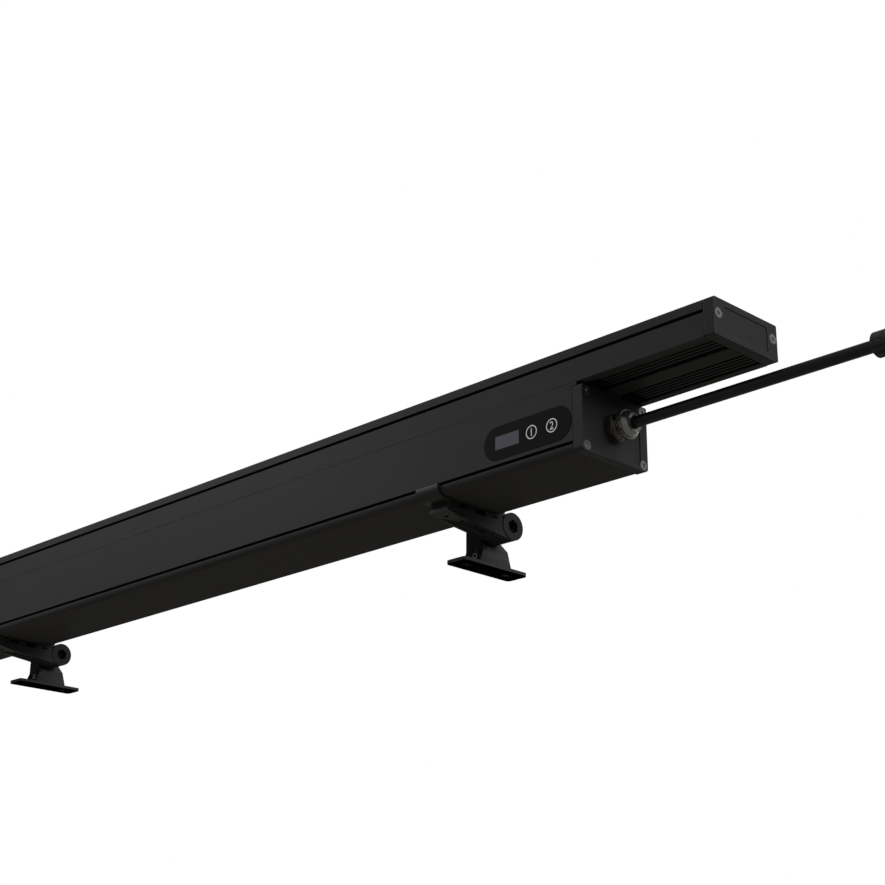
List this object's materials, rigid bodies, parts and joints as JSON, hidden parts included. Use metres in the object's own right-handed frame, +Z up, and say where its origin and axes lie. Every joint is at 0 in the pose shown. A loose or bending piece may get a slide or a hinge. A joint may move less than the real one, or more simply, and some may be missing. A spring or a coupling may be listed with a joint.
{
  "type": "wall washer light",
  "caption": "Long slim outdoor light head on a driver box with a control panel, held by sliding clamp brackets with swivelling slotted feet, with a supply cable and connector.",
  "frame": {"origin": "on the ground, in the middle of the lamp's own box, the cable left out", "axes": "+X along the lamp towards the cable's end, +Y from the front with the control panel to the back, +Z up, the way the light shines"},
  "size_m": [1.3366, 0.1242, 0.1185],
  "materials": {
    "extrusion_black": "satin black anodised extrusion",
    "cap_black": "fine textured black powder coat on die cast aluminium",
    "bracket_black": "fine textured black powder coat on die cast aluminium",
    "claw_black": "fine textured black powder coat on die cast aluminium",
    "bolt_black": "black coated steel",
    "screw_steel": "satin stainless steel",
    "screw_black": "black coated steel",
    "gasket_rubber": "matt black silicone rubber",
    "cover_glass": "clear tempered glass",
    "led_board_white": "white solder mask on a circuit board",
    "led_phosphor": "yellow phosphor under clear resin",
    "lens_acrylic": "clear moulded acrylic",
    "panel_film": "black polyester film",
    "display_glass": "smoked glossy window",
    "display_black": "black glossy display",
    "button_film": "black keys with light grey rings and plain numbers",
    "circuit_green": "green solder mask on a circuit board",
    "brass_post": "turned brass",
    "tray_aluminium": "plain folded sheet",
    "supply_case": "plain aluminium case",
    "gland_nickel": "nickel plated brass",
    "cable_jacket": "smooth black rubber jacket",
    "connector_plastic": "fine textured black nylon",
    "pin_brass": "gold plated contacts"
  },
  "bodies": {
    "lamp": {"head_housing": "extrusion_black", "head_end_cap_right": "cap_black", "head_end_cap_left": "cap_black", "head_cap_gaskets": "gasket_rubber", "head_cap_screws": "screw_steel", "glass_cover": "cover_glass", "glass_gasket": "gasket_rubber", "led_board_1": "led_board_white", "led_board_2": "led_board_white", "led_board_3": "led_board_white", "led_chips": "led_phosphor", "lens_strip_1": "lens_acrylic", "lens_strip_2": "lens_acrylic", "lens_strip_3": "lens_acrylic", "board_screws": "screw_steel", "spacer_rail": "extrusion_black", "joining_screws": "screw_steel", "driver_housing": "extrusion_black", "box_end_cap_right": "cap_black", "box_end_cap_left": "cap_black", "box_cap_gaskets": "gasket_rubber", "box_cap_screws": "screw_steel", "control_panel": "panel_film", "display_window": "display_glass", "display_module": "display_black", "control_board": "circuit_green", "control_board_posts": "brass_post", "control_board_screws": "screw_steel", "driver_tray": "tray_aluminium", "power_supply": "supply_case", "power_supply_screws": "screw_steel", "gland_body_right": "gland_nickel", "gland_nut_right": "gland_nickel", "gland_seal_right": "gasket_rubber", "gland_body_left": "gland_nickel", "gland_nut_left": "gland_nickel", "gland_plug_left": "gasket_rubber", "gland_locknuts": "gland_nickel", "supply_cable": "cable_jacket", "connector_back_nut": "connector_plastic", "connector_body": "connector_plastic", "connector_pins": "pin_brass"},
    "button_1": {"button_1": "button_film"},
    "button_2": {"button_2": "button_film"},
    "connector_ring": {"connector_ring": "connector_plastic"},
    "bracket_right": {"clamp_arm_right": "bracket_black", "front_claw_right": "claw_black", "clamp_screws_right": "screw_black"},
    "foot_right": {"foot_right": "bracket_black", "foot_screw_right": "screw_steel", "pivot_bolt_right": "bolt_black", "pivot_nut_right": "screw_steel"},
    "bracket_left": {"clamp_arm_left": "bracket_black", "front_claw_left": "claw_black", "clamp_screws_left": "screw_black"},
    "foot_left": {"foot_left": "bracket_black", "foot_screw_left": "screw_steel", "pivot_bolt_left": "bolt_black", "pivot_nut_left": "screw_steel"}
  },
  "joints": [
    {"name": "bracket_right_slide", "type": "slide", "parent": "lamp", "child": "bracket_right", "axis": [1, 0, 0], "range_m": [-0.27, 0.12]},
    {"name": "foot_right_swing", "type": "hinge", "parent": "bracket_right", "child": "foot_right", "pos_m": [0.324, 0.024, 0.0301], "axis": [1, 0, 0], "range_deg": [-25, 135]},
    {"name": "bracket_left_slide", "type": "slide", "parent": "lamp", "child": "bracket_left", "axis": [1, 0, 0], "range_m": [-0.12, 0.27]},
    {"name": "foot_left_swing", "type": "hinge", "parent": "bracket_left", "child": "foot_left", "pos_m": [-0.324, 0.024, 0.0301], "axis": [1, 0, 0], "range_deg": [-25, 135]},
    {"name": "button_1_press", "type": "slide", "parent": "lamp", "child": "button_1", "axis": [0, 1, 0], "range_m": [0, 0.0004], "stiffness_N_per_m": 600, "springref_m": -0.0005},
    {"name": "button_2_press", "type": "slide", "parent": "lamp", "child": "button_2", "axis": [0, 1, 0], "range_m": [0, 0.0004], "stiffness_N_per_m": 600, "springref_m": -0.0005},
    {"name": "connector_ring_spin", "type": "hinge", "parent": "lamp", "child": "connector_ring", "pos_m": [0.7202, -0.023, 0.0625], "axis": [1, 0, 0], "continuous": true}
  ]
}
